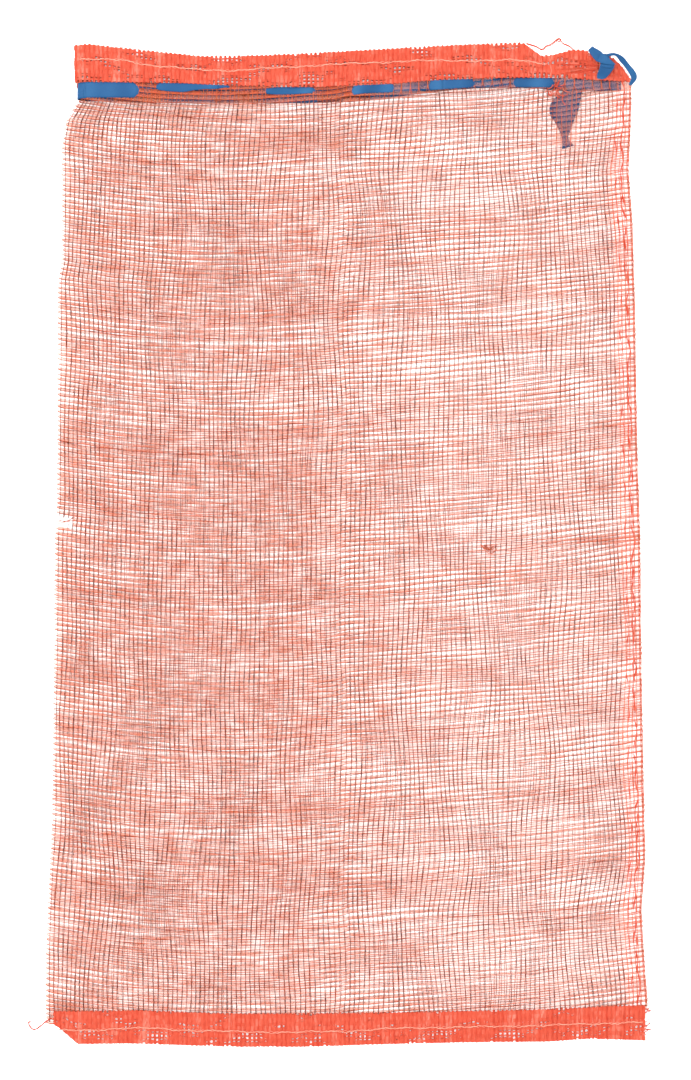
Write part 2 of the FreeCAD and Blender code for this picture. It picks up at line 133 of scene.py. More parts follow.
# Where the drawstring lies on the mesh and not under it, as x from and to, at the front and at the back.
FRONT_OVER = [(-235, -176), (-159, -100.5), (-67.5, -29), (5, 38), (70, 105), (141, 172)]
BACK_OVER = [(-196, -158), (-112, -70), (-24, 18), (64, 104), (150, 188)]
NEAR_SEAM_X = 150  # right of this the drawstring follows the layers down to the seam
TAIL_X, TAIL_REACH, TAIL_END_Y = 183, 11.5, 331  # the drawstring's end inside the bag
CORNER_X, CORNER_Y = -246.5, -402  # the cut corner of the bottom hem, where the mesh hangs out
HOLE_X, HOLE_Y, HOLE_HALF_WIDTH, HOLE_HALF_HEIGHT = -239, 20, 8, 4.8


def along(stations, at):
    """The outline's value, straight between its stations."""
    table = np.array(stations, float)
    return np.interp(at, table[:, 0], table[:, 1])


def left_edge(y):
    return along(LEFT_EDGE, y)


def right_edge(y):
    return along(RIGHT_EDGE, y)


def smooth(t):
    t = np.clip(t, 0, 1)
    return t * t * (3 - 2 * t)


def above_channel(x, y):
    """How far a point is above the lowest line of the drawstring's channel."""
    return y - along(CHANNEL_LOW, x)


def over_inner_end(x, y):
    """1 where the front mesh lies over the drawstring's end inside the bag."""
    return smooth((TAIL_REACH - np.abs(x - TAIL_X)) / 3) * smooth((y - TAIL_END_Y) / 3)


def wander(rows, at, wavelengths):
    """A smooth random value of about one, along each row, with waves of about these lengths."""
    total = 0
    for wavelength in wavelengths:
        number = 2 * np.pi / wavelength * rng.uniform(0.7, 1.3, (rows, 1))
        total = total + np.sin(at * number + rng.uniform(0, 2 * np.pi, (rows, 1)))
    return total / np.sqrt(len(wavelengths) / 2)


def wander_along(at, wavelengths):
    """As wander, for one row."""
    return wander(1, at[None], wavelengths)[0]


def field(seed, wavelengths_x, wavelengths_y, count=6):
    """A smooth random function of x and y, of about one."""
    r = np.random.default_rng(seed)
    waves = [
        (
            2 * np.pi / (wavelengths_x * r.uniform(0.6, 1.5)) * r.choice([-1, 1]),
            2 * np.pi / (wavelengths_y * r.uniform(0.6, 1.5)),
            r.uniform(0, 2 * np.pi),
        )
        for _ in range(count)
    ]
    return lambda x, y: sum(np.sin(a * x + b * y + c) for a, b, c in waves) / np.sqrt(count / 2)


# -------------------- strands and meshes
X_AXIS, Y_AXIS, Z_AXIS = np.eye(3)


def xyz(x, y, z):
    return np.stack([x, y, z], axis=-1)


def unit(v):
    return v / np.maximum(np.linalg.norm(v, axis=-1, keepdims=True), 1e-9)


def strands(path, side, across, up, tone, keep=None):
    """Strands: path is (strand, station, xyz), and across and up are (strand, station, corner), the offsets
    along side and its normal.

    A part is its points, its segments as (segment, end, corner) point numbers, and each point's tone."""
    tangent = unit(np.gradient(path, axis=1))
    lift = unit(np.cross(tangent, side))
    side = np.cross(lift, tangent)
    points = path[:, :, None] + side[:, :, None] * across[..., None] + lift[:, :, None] * up[..., None]
    n, m, k = points.shape[:3]
    index = np.arange(n * m * k).reshape(n, m, k)
    keep = np.ones((n, m - 1), bool) if keep is None else keep
    segments = np.stack([index[:, :-1], index[:, 1:]], axis=2)[keep]
    tones = np.broadcast_to(tone if tone.ndim == 3 else tone[..., None], (n, m, k)).reshape(-1)
    return points.reshape(-1, 3), [segments], tones


def diamond(wide, thick):
    """The corners of a flat four-sided strand, as its across and up offsets."""
    none = 0 * wide
    across = np.stack([wide, none, -wide, none], axis=-1)
    return across, np.stack([none, none + thick, none, none - thick], axis=-1)


def round_strand(points, radius, tone, corners=6):
    """One round strand along points, (station, xyz)."""
    path = np.array(points, float)[None]
    angle = 2 * np.pi * np.arange(corners) / corners
    radius = np.broadcast_to(radius, path.shape[1])[None, :, None]
    tangent = unit(np.gradient(path, axis=1))
    side = np.cross(tangent, np.where(np.abs(tangent[..., 2:]) < 0.9, Z_AXIS, X_AXIS))
    tone = np.broadcast_to(tone, path.shape[1])[None]
    return strands(path, side, radius * np.cos(angle), radius * np.sin(angle), tone)


def curve_through(points, steps):
    """A smooth line through points (Catmull-Rom)."""
    p = np.array(points, float)
    p = np.concatenate([[2 * p[0] - p[1]], p, [2 * p[-1] - p[-2]]])
    t = np.linspace(0, 1, steps, endpoint=False)[:, None]
    runs = []
    for before, start, end, after in zip(p, p[1:], p[2:], p[3:]):
        squared = 2 * before - 5 * start + 4 * end - after
        cubed = 3 * start - before - 3 * end + after
        runs.append(0.5 * (2 * start + (end - before) * t + squared * t**2 + cubed * t**3))
    return np.concatenate([*runs, p[-2:-1]])


def gather(parts):
    """Several parts as one."""
    points, groups, tones, start = [], [], [], 0
    for p, g, t in parts:
        points.append(p)
        tones.append(t)
        groups += [segments + start for segments in g]
        start += len(p)
    return np.concatenate(points), groups, np.concatenate(tones)


def split(part, region):
    """The part's segments by region, which is a whole number for a segment's centre."""
    points, groups, tones = part
    chosen = [region(points[segments].mean(axis=(1, 2))) for segments in groups]
    names = sorted({int(r) for c in chosen for r in np.unique(c)})
    return {name: (points, [g[c == name] for g, c in zip(groups, chosen)], tones) for name in names}


def skin(segments):
    """The faces round segments, and those that close their free ends."""
    near, far = segments[:, 0], segments[:, 1]
    next_near, next_far = np.roll(near, -1, axis=1), np.roll(far, -1, axis=1)
    sides = np.stack([near, next_near, next_far, far], axis=-1).reshape(-1, 4)
    return [sides, near[~np.isin(near[:, 0], far[:, 0])][:, ::-1], far[~np.isin(far[:, 0], near[:, 0])]]


def piece(name, part, material, rounded_off=True):
    """An object from a part, in metres, with smooth or flat faces."""
    points, groups, tones = part
    faces = [f for segments in groups for f in skin(segments) if len(f)]
    used, flat = np.unique(np.concatenate([f.reshape(-1) for f in faces]), return_inverse=True)
    sizes = np.concatenate([np.full(len(f), f.shape[1]) for f in faces])
    mesh = bpy.data.meshes.new(name)
    mesh.vertices.add(len(used))
    mesh.vertices.foreach_set("co", (points[used] * mm).astype(np.float32).reshape(-1))
    mesh.loops.add(len(flat))
    mesh.loops.foreach_set("vertex_index", flat.astype(np.int32).reshape(-1))
    mesh.polygons.add(len(sizes))
    mesh.polygons.foreach_set("loop_start", np.concatenate([[0], np.cumsum(sizes)[:-1]]).astype(np.int32))
    mesh.polygons.foreach_set("use_smooth", np.full(len(sizes), rounded_off))
    mesh.attributes.new("tone", "FLOAT", "POINT").data.foreach_set("value", tones[used].astype(np.float32))
    mesh.update(calc_edges=True)
    mesh.materials.append(material)
    made = bpy.data.objects.new(name, mesh)
    bpy.context.scene.collection.objects.link(made)
    return made


# -------------------- materials
def nodes_of(material):
    material.use_nodes = True
    tree = material.node_tree
    tree.nodes.clear()
    return tree.nodes.new, tree.links.new


def set_inputs(node, values):
    for name, value in values.items():
        node.inputs[name].default_value = value


def fill_ramp(ramp, stations):
    while len(ramp.elements) < len(stations):
        ramp.elements.new(0.5)
    for element, (at, colour) in zip(ramp.elements, stations):
        element.position = at
        element.color = (*colour, 1)


def fibre(name, colours, roughness, glow, grain=900, cover=None):
    """A woven or twisted plastic yarn. By tone, from spread out to twisted, run its colours and, if it is
    see-through in places, its cover. Its glow is the share of light that comes through it."""
    material = bpy.data.materials.new(name)
    add, link = nodes_of(material)
    output, principled = add("ShaderNodeOutputMaterial"), add("ShaderNodeBsdfPrincipled")

    # The tone wanders in patches and, more finely, in grains.
    tone, ramp = add("ShaderNodeAttribute"), add("ShaderNodeValToRGB")
    tone.attribute_name = "tone"
    place, patches, grains = add("ShaderNodeTexCoord"), add("ShaderNodeTexNoise"), add("ShaderNodeTexNoise")
    set_inputs(patches, {"Scale": 60, "Detail": 3})
    set_inputs(grains, {"Scale": grain, "Detail": 2})
    toned = tone.outputs["Fac"]
    for noise, strength in ((patches, 0.2), (grains, 0.16)):
        link(place.outputs["Object"], noise.inputs["Vector"])
        centred, added = add("ShaderNodeMath"), add("ShaderNodeMath")
        centred.operation, centred.inputs[1].default_value = "SUBTRACT", 0.5
        added.operation, added.inputs[1].default_value = "MULTIPLY_ADD", strength
        link(noise.outputs["Fac"], centred.inputs[0])
        link(centred.outputs[0], added.inputs[0])
        link(toned, added.inputs[2])
        toned = added.outputs[0]
    link(toned, ramp.inputs["Fac"])
    fill_ramp(ramp.color_ramp, colours)

    rough, lumps = add("ShaderNodeMapRange"), add("ShaderNodeBump")
    set_inputs(rough, {"To Min": roughness[0], "To Max": roughness[1]})
    link(grains.outputs["Fac"], rough.inputs["Value"])
    link(rough.outputs["Result"], principled.inputs["Roughness"])
    set_inputs(lumps, {"Strength": 0.25, "Distance": 0.0003})
    link(grains.outputs["Fac"], lumps.inputs["Height"])
    link(lumps.outputs["Normal"], principled.inputs["Normal"])
    link(ramp.outputs["Color"], principled.inputs["Base Color"])
    set_inputs(principled, {"Specular IOR Level": 0.12})
    through, mix = add("ShaderNodeBsdfTranslucent"), add("ShaderNodeMixShader")
    link(ramp.outputs["Color"], through.inputs["Color"])
    link(lumps.outputs["Normal"], through.inputs["Normal"])
    set_inputs(mix, {"Fac": glow})
    link(principled.outputs["BSDF"], mix.inputs[1])
    link(through.outputs["BSDF"], mix.inputs[2])
    if cover is None:
        link(mix.outputs["Shader"], output.inputs["Surface"])
        return material

    share, clear = add("ShaderNodeValToRGB"), add("ShaderNodeBsdfTransparent")
    window = add("ShaderNodeMixShader")
    fill_ramp(share.color_ramp, [(at, (value, value, value)) for at, value in cover])
    link(toned, share.inputs["Fac"])
    link(share.outputs["Color"], window.inputs["Fac"])
    link(clear.outputs["BSDF"], window.inputs[1])
    link(mix.outputs["Shader"], window.inputs[2])
    link(window.outputs["Shader"], output.inputs["Surface"])
    return material


# The ramp's darkest stops, where the warps' tone lies, are partly the yarn's own colour and partly painted
# shade.
MESH_COLOURS = [(0.0, (0.90, 0.45, 0.33)), (0.36, (0.86, 0.31, 0.19)), (0.5, (0.69, 0.125, 0.055)),
                (0.56, (0.66, 0.16, 0.06)), (0.7, (0.44, 0.085, 0.04)), (1.0, (0.12, 0.03, 0.028))]
MESH_COVER = [(0.0, 0.08), (0.3, 0.33), (0.43, 0.42), (0.49, 1.0)]
HEM_COLOURS = [(0.0, (0.70, 0.30, 0.225)), (0.4, (0.64, 0.100, 0.054)), (0.75, (0.56, 0.054, 0.025)),
               (1.0, (0.32, 0.03, 0.02))]
STITCH_COLOURS = [(0.0, (0.85, 0.40, 0.30)), (1.0, (0.80, 0.20, 0.13))]
TAPE_COLOURS = [(0.0, (0.036, 0.135, 0.28)), (0.5, (0.010, 0.062, 0.165)), (1.0, (0.006, 0.032, 0.09))]

MESH = fibre("mesh_yarn", MESH_COLOURS, (0.35, 0.55), 0.5, cover=MESH_COVER)
HEM = fibre("hem_yarn", HEM_COLOURS, (0.35, 0.55), 0.35)
STITCH = fibre("stitch_thread", STITCH_COLOURS, (0.5, 0.7), 0.2, 1800)
TAPE = fibre("drawstring_tape", TAPE_COLOURS, (0.4, 0.6), 0.1, 1200)


# -------------------- the cloth's surfaces
# How far in from the left fold, the seam and the bottom hem the layers come together.
ROLL, ALLOWANCE, SEAM_FALL, HEM_RISE = 14, 7, 45, 30
FRONT_RIPPLE, BACK_RIPPLE = 0.7, 0.25  # how high the layers' ripples are
ripple = field(5, 150, 110)
ripple_back = field(6, 170, 120)


def rounded(x, y):
    """0 at the left fold's edge, 1 where the layers lie flat, along a half circle."""
    return np.sqrt(1 - (1 - np.clip((x - left_edge(y)) / ROLL, 0, 1)) ** 2)


def layer_height(flat, x, y, seam, edge):
    """A layer's height, from the left fold up or down to flat, then to the seam and the sewn edge."""
    z = MIDDLE_Z + (flat - MIDDLE_Z) * rounded(x, y)
    inside = right_edge(y) - x
    z = seam + (z - seam) * smooth((inside - ALLOWANCE) / SEAM_FALL)
    return np.where(inside < ALLOWANCE, edge + (z - edge) * np.clip(inside / ALLOWANCE, 0, 1), z)


def front_height(x, y):
    z = layer_height(FRONT_Z + FRONT_RIPPLE * ripple(x, y), x, y, seam=5.6, edge=1.9)
    return HEM_UNDER + (z - HEM_UNDER) * smooth((y - MESH_LOW_Y) / HEM_RISE)


def back_height(x, y):
    z = layer_height(BACK_Z + BACK_RIPPLE * (1 + ripple_back(x, y)), x, y, seam=4.4, edge=0.9)
    return BACK_Z + (z - BACK_Z) * smooth((y - MESH_LOW_Y) / HEM_RISE)


# -------------------- the mesh
# The slopes of the wefts along x, front and back.
FRONT_SLOPES = [
    (-255, -0.16), (-210, -0.14), (-139, -0.04), (-72, 0.03), (-21, 0.07), (46, 0.07), (113, 0.07),
    (180, 0.125), (245, 0.13),
]
BACK_SLOPES = [
    (-255, -0.145), (-210, -0.13), (-139, -0.036), (-72, 0.03), (-21, 0.069), (46, 0.07), (113, 0.073),
    (180, 0.12), (245, 0.125),
]
LEFT_RISE = 8.0  # what the wefts' rise starts from at the left
CREASE_X = 2.0  # the vertical crease
FAINT_FOLDS = (214, -160)  # where faint folds cross the bag, as y
MESH_WIDTH, DENT_REACH = 480, 70  # how far in from the left edge the warps follow its dents
# The wefts' usual width, half thickness and tones, spread out and rolled, and the warps' radius and tone.
WEFT_WIDTH, WEFT_HALF_THICKNESS, FILM_TONE, ROLLED_TONE = 2.3, 0.13, 0.18, 0.62
# The warps' dark tone is partly the yarn's own colour and partly painted shade.
WARP_RADIUS, WARP_TONE_WITH_PAINTED_SHADE = 0.27, 0.92
# Random shifts that both layers share.
SHARED = field(20, 300, 70)
SHARED_LEAN = field(19, 130, 150)

# Each weft goes round the left fold, so both layers have the same ones.
WEFT_PITCH, MOST_WEFTS, BEFORE_MESH, LAST_WEFT_Y = 4.2, 260, 34, 404
uneven = 0.04 * wander_along(np.arange(MOST_WEFTS), [9, 17, 31]) + rng.normal(0, 0.025, MOST_WEFTS)
PICKS = MESH_LOW_Y - BEFORE_MESH + np.cumsum(WEFT_PITCH * (1 + uneven))
PICKS = PICKS[PICKS < LAST_WEFT_Y]

# The warps are as far apart in both layers, counted from the left fold.
WARP_PITCH = [(-250, 3.76), (-150, 3.8), (-120, 3.93), (-60, 4.0), (178, 4.03), (215, 3.7), (235, 3.3)]
COLUMNS = [left_edge(0) + 2.8]
while COLUMNS[-1] < right_edge(0) - 5:
    COLUMNS.append(COLUMNS[-1] + along(WARP_PITCH, COLUMNS[-1]) * rng.uniform(0.975, 1.025))
COLUMNS = np.array(COLUMNS)


def bow_from(slopes):
    """The rise of a weft along x, from its slopes."""
    x = np.linspace(-260, 260, 261)
    rise = np.cumsum(along(slopes, x)) * (x[1] - x[0])
    rise += LEFT_RISE - rise[0]
    return lambda at: np.interp(at, x, rise)


def crossings(front):
    """Where the wefts and warps of one layer cross, as x, y, z and 1 or -1 for which of them is on top."""
    if front:
        bow, height = bow_from(FRONT_SLOPES), front_height
        shift, lean, drift, offset, kinked = field(21, 260, 62), field(22, 120, 160), 0.4, 0.0, 1
    else:
        bow, height = bow_from(BACK_SLOPES), back_height
        shift, lean, drift, offset, kinked = field(31, 240, 48), field(32, 140, 150), 0.5, 0.6, -0.6
    x0, x1 = left_edge(0), right_edge(0)
    columns = COLUMNS + offset * np.sin(COLUMNS / 37 + 1.2 * np.sin(COLUMNS / 83))
    places = np.array([x0, *columns, x1 - 0.6, x1])
    share = ((places - x0) / (x1 - x0))[None]
    picks = PICKS[:, None]
    own = wander(len(picks), places[None], [70, 160]) * 0.18
    lateral = wander(len(places), picks.T, [90, 40]).T * 0.2
    inner = smooth(share / 0.02) * smooth((1 - share) / 0.03)
    alternate = np.where(np.arange(len(places)) % 2 == 0, 1, -1)
    y = picks + bow(places)[None]
    for _ in range(3):
        edge0, edge1, trend = left_edge(y), right_edge(y), along(LEFT_TREND, y)
        x = trend + (edge1 - trend) * share
        x = x + (edge0 - trend) * (1 - share) * np.exp(-share * MESH_WIDTH / DENT_REACH)
        x = x + inner * (lateral + 0.9 * SHARED_LEAN(x, y) + 0.35 * lean(x, y))
        # In the drawstring's channel the warps lie in pairs.
        paired = smooth((above_channel(x, y) + 1) / 4) * smooth((x - 30) / 20)
        x = x + inner * paired * 1.7 * alternate
        # The vertical crease draws the warps together and kinks the wefts.
        pull = x - CREASE_X - 1.2 * np.sin(y / 70)
        x = x - 0.3 * np.tanh(pull / 4) * np.exp(-((pull / 16) ** 2))
        kink = 1.3 * np.exp(-np.abs(pull) / 7) - 1.0 * np.exp(-(((pull + 16) / 12) ** 2))
        free = smooth((x - edge0) / 45) * (0.45 + 0.55 * smooth((x + 90) / 120))
        y = picks + bow(x) + 0.5 * SHARED(x, y) + free * (own + drift * shift(x, y)) + kink * kinked
        # The half fold draws the wefts together, most of all on the right.
        near = y - FOLD_Y
        drawn = 0.35 + 0.65 * smooth((x - 60) / 90)
        y = y - drawn * 1.6 * np.tanh(near / 5) * np.exp(-((near / 18) ** 2))
    weave = np.where((np.arange(len(picks))[:, None] + np.arange(len(places))[None]) % 2 == 0, 1.0, -1.0)
    return x, y, height(x, y), weave


def kept(x, y, past_hem, hole):
    """Which segments of a grid of yarns there are: from the bottom hem, or lower beside its cut corner, to
    just past the mouth hem's lower edge, and outside the small hole, whose edge is at 1."""
    x, y = (x[:, 1:] + x[:, :-1]) / 2, (y[:, 1:] + y[:, :-1]) / 2
    lowest = np.where(x < CORNER_X, CORNER_Y, along(BOTTOM_TOP, x) - 1.5)
    from_hole = ((x - HOLE_X) / HOLE_HALF_WIDTH) ** 2 + ((y - HOLE_Y) / HOLE_HALF_HEIGHT) ** 2
    return (y > lowest) & (y < along(MOUTH_LOW, x) + past_hem) & (from_hole > hole)


def wefts(front, x, y, z, weave):
    """Flat tapes: a thin line where they are rolled up, and a pale film where they are spread out."""
    rows = len(x)
    left_part = 1 - smooth((x + 60) / 160)
    at_edge = smooth((x - right_edge(y) + 20) / 10)
    channel = smooth(above_channel(x, y) / 2)
    over_end = front * over_inner_end(x, y) * (1 - channel)
    folds = [(0.03 + 0.20 * smooth((x - 170) / 50), FOLD_Y), *((0.04, at) for at in FAINT_FOLDS)]
    creased = sum(depth * np.exp(-(((y - at) / 3.5) ** 2)) for depth, at in folds)

    spread = WEFT_WIDTH + 0.6 * left_part + wander(rows, x, [28, 70]) * 0.42 + rng.normal(0, 0.15, (rows, 1))
    spread = np.clip(spread - 0.8 * at_edge, 0.8, 4.1)
    spread[:, 0] *= 0.5
    spread[:, -1] *= 0.6
    spread = spread + (3.6 - spread) * channel
    spread = spread + (3.7 - spread) * over_end
    wide = spread / 2
    ends = x.copy()
    ends[:, 0] -= np.abs(rng.normal(0, 0.35, rows))
    ends[:, -1] += rng.normal(-0.2, 0.35, rows)
    path = xyz(ends, y, z + 0.08 * weave)

    # One edge is rolled up, in a few wefts the other one. The corners go round the same way.
    thick = np.full_like(wide, WEFT_HALF_THICKNESS)
    rolled_edge = np.where(rng.uniform(0, 1, (rows, 1)) < 0.1, 1, -1)
    edge, core, thin_from = (rolled_edge * (wide - inset) for inset in (0, 0.42, 0.58))
    across = np.stack([edge, core, thin_from, -edge, thin_from, core], axis=-1)
    up = np.stack([thick * 0, thick, thick * 0.4, thick * 0, -thick * 0.4, -thick], axis=-1)
    up = rolled_edge[..., None] * up

    film = FILM_TONE + 0.03 * left_part + 0.05 * wander(rows, x, [18, 45]) * (0.5 + left_part)
    film = film + rng.normal(0, 0.04, (rows, 1))
    film = np.clip(film + creased + 0.08 * at_edge, 0.02, 0.36)
    # Over the drawstring the film is thicker and folded.
    upper_part = smooth((above_channel(x, y) - 4) / 1.5)
    folded = 0.17 + (0.15 + 0.12 * upper_part) * (1 - smooth(x / 50))
    film = film + (folded + 0.03 * wander(rows, x, [9, 20]) - film) * channel
    film = film + (0.17 - film) * over_end
    film = np.clip(film, 0.0, 0.55)
    rolled = np.clip(ROLLED_TONE + 0.08 * wander(rows, x, [50, 20]), 0.5, 0.85)
    rolled = rolled + (film - rolled) * np.maximum(channel * smooth(x / 50), 0.7 * over_end)
    tone = np.stack([rolled, rolled, film, film, film, rolled], axis=-1)
    return strands(path, Y_AXIS, across, up, tone, kept(x, y, past_hem=0.4, hole=1))


def warps(front, x, y, z, weave):
    """Thin twisted pairs that hold each weft between them, so they show dark on both faces; their dark tone
    is partly their own colour and partly painted shade.
    """
    x, y, z = (a.T[1:-1] for a in (x, y, z - 0.03 * weave))
    count = len(x)
    thin = WARP_RADIUS - 0.02 * smooth((x + 60) / 160) + 0.04 * wander(count, y, [60, 25])
    thin = (thin + rng.normal(0, 0.03, (count, 1)))[..., None]
    thin[-1:] *= 1.2
    angle = np.radians([45, 135, 225, 315])
    tone = np.clip(WARP_TONE_WITH_PAINTED_SHADE + rng.normal(0, 0.05, (count, 1)) + 0.06 * wander(count, y, [30]), 0.6, 1)
    # The yarns near the seam, and those over the drawstring, are paler.
    tone[-6:] -= 0.4
    tone = tone - 0.36 * np.maximum(smooth((above_channel(x, y) + 1) / 3), front * over_inner_end(x, y))
    path = xyz(x, y, z)
    across, up = 1.2 * thin * np.cos(angle), (0.22 + thin) * np.sin(angle)
    return strands(path, -X_AXIS, across, up, tone, kept(x, y, past_hem=1.4, hole=0.8))


def cloth_layer(front):
    """One layer of the mesh, as warps and wefts that cross."""
    grid = crossings(front)
    return gather([wefts(front, *grid), warps(front, *grid)])


# -------------------- cloth pieces
# The regions, what their pieces' names end in, and the bodies of the stiff ones.
LOWER, CREASE, UPPER, LIP_LEFT, LIP_MIDDLE, LIP_RIGHT = range(6)
SUFFIX = ("lower", "fold_band", "upper", "lip_left", "lip_middle", "lip_right")
RIDES = {LOWER: "lower_half", UPPER: "upper_half", LIP_MIDDLE: "mouth_lip"}
# The bodies that each strip lies between, and where it starts and ends.
BLENDS = {
    CREASE: ("lower_half", "upper_half", (0, (FOLD_Y - BAND) * mm, 0), (0, (FOLD_Y + BAND) * mm, 0)),
    LIP_LEFT: ("upper_half", "mouth_lip", (LIP_LEFT_X * mm, 0, 0), ((LIP_LEFT_X + STRIP) * mm, 0, 0)),
    LIP_RIGHT: ("upper_half", "mouth_lip", (LIP_X * mm, 0, 0), ((LIP_X - STRIP) * mm, 0, 0)),
}


def back_region(centres):
    """The region of each centre in the back layer."""
    y = centres[:, 1]
    r = np.full(len(centres), UPPER)
    r[y < FOLD_Y + BAND] = CREASE
    r[y < FOLD_Y - BAND] = LOWER
    return r


def front_region(centres):
    """The region of each centre in the front layer, which has the lip of the mouth as well."""
    x, y = centres[:, 0], centres[:, 1]
    r = back_region(centres)
    lip = (y > LIP_Y) & (x < LIP_X)
    r[lip] = LIP_MIDDLE
    r[lip & (x < LIP_LEFT_X + STRIP)] = LIP_LEFT
    r[lip & (x > LIP_X - STRIP)] = LIP_RIGHT
    return r


def carry(made, region):
    """Rides a piece on its region's body as that moves; a piece of a strip between two bodies only has its
    transform baked.
    """
    if region in RIDES:
        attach(made, RIDES[region])
    else:
        body, next_body, start, end = BLENDS[region]
        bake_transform(made)
        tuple(start)
        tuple(end)


def spread_out(stem, part, region, material, rounded_off=True):
    """Makes a piece of each region of a part."""
    made = {}
    for r, share in split(part, region).items():
        made[r] = piece(f"{stem}_{SUFFIX[r]}", share, material, rounded_off)
    return made


front = spread_out("front_mesh", cloth_layer(True), front_region, MESH)
back = spread_out("back_mesh", cloth_layer(False), back_region, MESH)

# -------------------- hems
PAIR_PITCH, PAIR_HALF_GAP, HEM_WEFT_TONE, HEM_WARP_TONE = 3.8, 0.48, 0.43, 0.56
# Where the hems start and end, and the heights of their plies.
MOUTH_ENDS, BOTTOM_ENDS = (-229, 237.5), (CORNER_X, 250.5)
MOUTH_FRONT_PLIES, MOUTH_BACK_PLIES, BOTTOM_PLIES = (7.6, 8.15, 8.7), (0.6, 1.2), (0.5, 1.1, 1.8, 2.5)
# How the mouth's hem turns at the left fold, and sinks to the seam.
TURN_X, TURN_RADIUS, SINK_X, SINK_LENGTH, SINK_Z = -229.2, 6, 238, 30, 4.5
# How open each row of a hem is, from its lowest row up.
MOUTH_OPEN = (1.0, 0.9, 0.3, 0.5, 0.4, 0.6, 0.7, 0.5, 0.3)
BOTTOM_OPEN = (0.3, 0.9, 0.9, 0.5, 0.2, 0.2, 0.1, 0.0)


def mouth_low(x):
    return along(MOUTH_LOW, x) - 0.6


def mouth_top(x):
    return along(MOUTH_TOP, x)


def bottom_top(x):
    return along(BOTTOM_TOP, x) + 0.5


def bottom_low(x):
    return along(BOTTOM_LOW, x) + 0.3 * np.sin(2 * np.pi * x / PAIR_PITCH)


def mouth_height(base):
    """The height of a ply of the mouth's hem, which turns round the left fold and sinks to the seam."""
    level = base + np.where(base > MIDDLE_Z, 0.45, -0.3)

    def height(x, y):
        turn = np.sqrt(1 - (1 - np.clip((x - TURN_X) / TURN_RADIUS, 0, 1)) ** 2)
        z = MIDDLE_Z + (level - MIDDLE_Z) * turn
        return z - (z - SINK_Z) * 0.6 * (1 - smooth((SINK_X - x) / SINK_LENGTH))

    return height


def bottom_height(base):
    """The height of a ply of the bottom hem."""
    return lambda x, y: base + 0 * x + 0.25 * ripple(x * 2.3, y)


def hem_plies(left, right, low, top, height, levels, openness, seed):
    """A hem, of plies of the mesh folded onto each other.

    The yarns of all plies lie on nearly the same lines, so pinholes are left in rows."""
    r = np.random.default_rng(seed)
    rows = len(openness)
    row = np.arange(rows)[:, None]
    at_row = (row + 0.5) / rows + r.normal(0, 0.01, (rows, 1))
    thin_place, pale_place = field(seed + 1, 60, 26), field(seed + 2, 22, 120)
    tight_place = field(seed + 3, 15, 9)
    columns = np.arange(left + 0.9, right - 0.8, PAIR_PITCH)
    columns = (columns + r.normal(0, 0.12, len(columns)))[:, None]
    xs = np.arange(left, right + 2, 2.0)[None].clip(left, right)
    room = (top(xs) - low(xs)) / rows
    # The pinholes go through every ply at the same places.
    hole = np.array(openness)[:, None] + 0.65 * thin_place(xs, 34 * at_row)
    hole = smooth(2.5 * (hole + 0.5 * tight_place(xs, 3.4 * row) - 0.85))
    parts = []
    for level in levels:
        # Wefts, spread wide.
        y = low(xs) + 0.5 + (top(xs) - low(xs) - 1.3) * at_row + wander(rows, xs, [50, 25]) * 0.12
        wide = room * 0.57 - 1.3 * hole + 0.05 * wander(rows, xs, [15, 30])
        wide = np.minimum(wide, np.minimum(y - low(xs), top(xs) - 0.5 - y) + 0.2)
        ends = xs + 0 * y
        z = height(level)(ends, y)
        tone_at = ends.copy()
        ends[:, 0] += rng.uniform(-1.1, 0.6, rows)
        path = xyz(ends, y, z + rng.uniform(-0.1, 0.1, (rows, 1)))
        pale = 0.16 * smooth(pale_place(tone_at, y) - 0.4)
        tone = HEM_WEFT_TONE + 0.05 * wander(rows, xs, [12, 30]) - pale
        tone = np.clip(tone + rng.normal(0, 0.03, (rows, 1)), 0, 1)
        parts.append(strands(path, Y_AXIS, *diamond(wide, 0.05), tone))
        # Warps, in pairs, on the wefts' outer side, which end in small loops at the folded edges.
        outward = 0.24 if level > 1.5 else -0.15
        places = np.concatenate([columns - PAIR_HALF_GAP, columns + PAIR_HALF_GAP])
        count = len(places)
        bottom = low(places) - r.uniform(0, 0.6, (count, 1))
        upper = top(places) + r.uniform(-0.5, 0.35, (count, 1))
        y = bottom + (upper - bottom) * np.linspace(0, 1, 12)[None]
        x = places + 0.2 * wander(count, y, [18])
        wide = (0.42 + 0.1 * wander(count, y, [12])).clip(0.2, 0.7)
        path = xyz(x, y, np.maximum(height(level)(x, y) + outward, 0.03))
        tone = HEM_WARP_TONE + rng.normal(0, 0.08, (count, 1)) + 0.10 * wander(count, y, [8])
        tone = np.clip(tone - 0.16 * smooth(pale_place(x, y) - 0.4), 0, 1)
        parts.append(strands(path, -X_AXIS, *diamond(wide, 0.2), tone))
    return gather(parts)


def mouth_plies(levels):
    return hem_plies(*MOUTH_ENDS, mouth_low, mouth_top, mouth_height, levels, MOUTH_OPEN, 71)


front_plies, back_plies = mouth_plies(MOUTH_FRONT_PLIES), mouth_plies(MOUTH_BACK_PLIES)
front_hem = spread_out("mouth_hem", front_plies, front_region, HEM, False)
back_hem = piece("back_mouth_hem_cloth", back_plies, HEM, False)
bottom_plies = hem_plies(*BOTTOM_ENDS, bottom_low, bottom_top, bottom_height, BOTTOM_PLIES, BOTTOM_OPEN, 83)
bottom_hem = piece("bottom_hem_cloth", bottom_plies, HEM, False)


# -------------------- stitching
STITCH_PITCH, STITCH_SWAY, STITCH_RADIUS = 5.2, 0.28, 0.27


